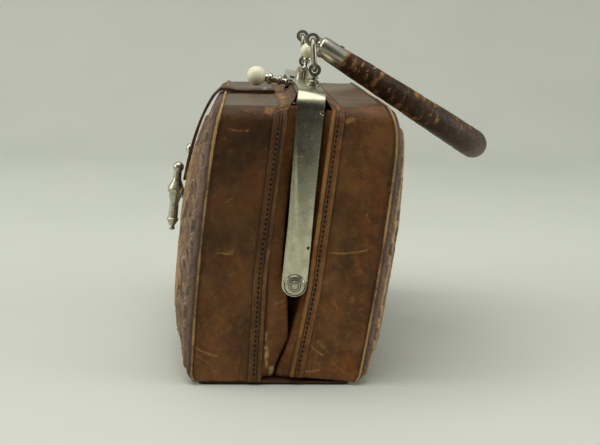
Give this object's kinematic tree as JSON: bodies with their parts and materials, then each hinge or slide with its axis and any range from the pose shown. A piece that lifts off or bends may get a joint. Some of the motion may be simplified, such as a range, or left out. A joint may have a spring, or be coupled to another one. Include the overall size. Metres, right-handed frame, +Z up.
{
  "type": "doctor bag",
  "caption": "Small antique leather doctor bag: tooled halves on a riveted nickel frame that opens at the top, with ball clasp, strap with turn toggle and a swinging leather handle.",
  "frame": {"origin": "centre of the base underside, on the surface the bag stands on", "axes": "+X along the mouth, -Y towards the front with the strap, +Z up"},
  "size_m": [0.2394, 0.2075, 0.1971],
  "materials": {
    "band_leather": "aged brown leather, rubbed at the edges",
    "tooled_leather": "tooled dark brown leather with worn high spots",
    "handle_leather": "sewn dark leather, scuffed",
    "worn_edge_leather": "worn tan leather welt",
    "gusset_leather": "soft dark leather",
    "nickel": "worn nickel plate with small pits",
    "ivory": "polished ivory-coloured ball",
    "dark_pin": "dark iron pin",
    "pasteboard": "grey-brown pasteboard",
    "lining_cloth": "plain drill lining",
    "wadding": "loose cotton wadding",
    "handle_core": "bent cane core"
  },
  "bodies": {
    "base": {"base_panel": "band_leather", "base_board": "pasteboard", "base_lining": "lining_cloth", "gusset_right": "gusset_leather", "gusset_left": "gusset_leather"},
    "front_half": {"front_band": "band_leather", "front_welt": "worn_edge_leather", "front_panel": "tooled_leather", "front_wadding": "wadding", "front_board": "pasteboard", "front_lining": "lining_cloth", "front_edge_strips": "band_leather", "front_strap": "band_leather", "strap_rivets": "nickel", "strap_stud": "nickel", "toggle_base": "nickel"},
    "back_half": {"back_band": "band_leather", "back_welt": "worn_edge_leather", "back_panel": "tooled_leather", "back_wadding": "wadding", "back_board": "pasteboard", "back_lining": "lining_cloth", "back_edge_strips": "band_leather"},
    "front_jaw": {"outer_frame": "nickel", "outer_flap": "gusset_leather", "outer_flap_rivets": "nickel", "pivot_rivets": "nickel", "handle_posts": "nickel", "clasp_plate": "nickel", "clasp_pin": "nickel"},
    "back_jaw": {"inner_frame": "nickel", "inner_flap": "gusset_leather", "inner_flap_rivets": "nickel", "catch_post": "nickel", "catch_ball": "ivory"},
    "lever": {"clasp_lever": "nickel", "lever_ball": "ivory"},
    "links": {"handle_link_right": "nickel", "handle_link_left": "nickel"},
    "handle": {"ferrule_right": "nickel", "ferrule_left": "nickel", "ferrule_pins": "dark_pin", "handle_core": "handle_core", "handle_grip": "handle_leather"},
    "toggle": {"toggle": "nickel"}
  },
  "joints": [
    {"name": "mouth_open", "type": "hinge", "parent": "front_jaw", "child": "back_jaw", "pos_m": [0, 0.01091, 0.05864], "axis": [-1, 0, 0], "range_deg": [0, 31.5], "deforming": ["gusset_right", "gusset_left"]},
    {"name": "front_half_tilt", "type": "hinge", "parent": "base", "child": "front_half", "pos_m": [0, -0.043, 0.00215], "axis": [1, 0, 0], "range_deg": [0, 9.6]},
    {"name": "back_half_tilt", "type": "hinge", "parent": "base", "child": "back_half", "pos_m": [0, 0.043, 0.00215], "axis": [-1, 0, 0], "range_deg": [0, 9.6]},
    {"name": "front_jaw_flex", "type": "hinge", "parent": "front_half", "child": "front_jaw", "pos_m": [0, 0.00537, 0.15316], "axis": [1, 0, 0], "range_deg": [0, 4.5]},
    {"name": "handle_swing", "type": "hinge", "parent": "links", "child": "handle", "pos_m": [0, 0.0215, 0.19298], "axis": [1, 0, 0], "range_deg": [0, 226]},
    {"name": "links_swing", "type": "hinge", "parent": "front_jaw", "child": "links", "pos_m": [0, 0.02302, 0.17555], "axis": [-1, 0, 0], "range_deg": [0, 22]},
    {"name": "lever_flip", "type": "hinge", "parent": "front_jaw", "child": "lever", "pos_m": [0, 0.01045, 0.1644], "axis": [-1, 0, 0], "range_deg": [0, 75]},
    {"name": "toggle_turn", "type": "hinge", "parent": "front_half", "child": "toggle", "pos_m": [0, -0.06283, 0.09019], "axis": [0, -0.9936, 0.1132], "range_deg": [-90, 90]}
  ],
  "couplings": [
    {"joint": "front_half_tilt", "follows": "mouth_open", "ratio": 0.3021},
    {"joint": "back_half_tilt", "follows": "mouth_open", "ratio": 0.3021},
    {"joint": "front_jaw_flex", "follows": "mouth_open", "ratio": 0.1394},
    {"joint": "links_swing", "follows": "handle_swing", "ratio": 0.0973}
  ]
}
